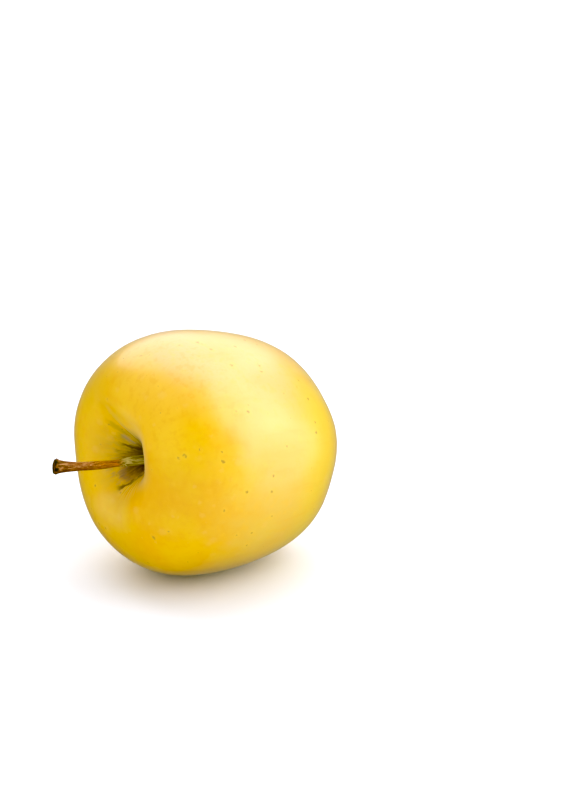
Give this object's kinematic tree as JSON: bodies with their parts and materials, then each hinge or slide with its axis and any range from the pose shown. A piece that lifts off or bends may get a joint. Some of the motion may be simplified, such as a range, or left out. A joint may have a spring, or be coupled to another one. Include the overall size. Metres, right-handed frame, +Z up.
{
  "type": "apple",
  "caption": "Ripe yellow apple lying on its side, with a slender stem in a deep cavity and dried sepals in the blossom basin.",
  "frame": {"origin": "centre of the small flat resting spot on the lower cheek, at floor level", "axes": "+Z up from the floor; -X towards the stem and +X towards the blossom end, seen from above; +Y completes a right-handed set"},
  "size_m": [0.0924, 0.073, 0.075],
  "materials": {
    "skin": "satin",
    "stem_bark": "satin",
    "dried_flower": "matte"
  },
  "bodies": {
    "root": {"fruit": "skin", "stem": "stem_bark", "sepal_1": "dried_flower", "sepal_2": "dried_flower", "sepal_3": "dried_flower", "sepal_4": "dried_flower", "sepal_5": "dried_flower", "stamens": "dried_flower"}
  },
  "joints": []
}
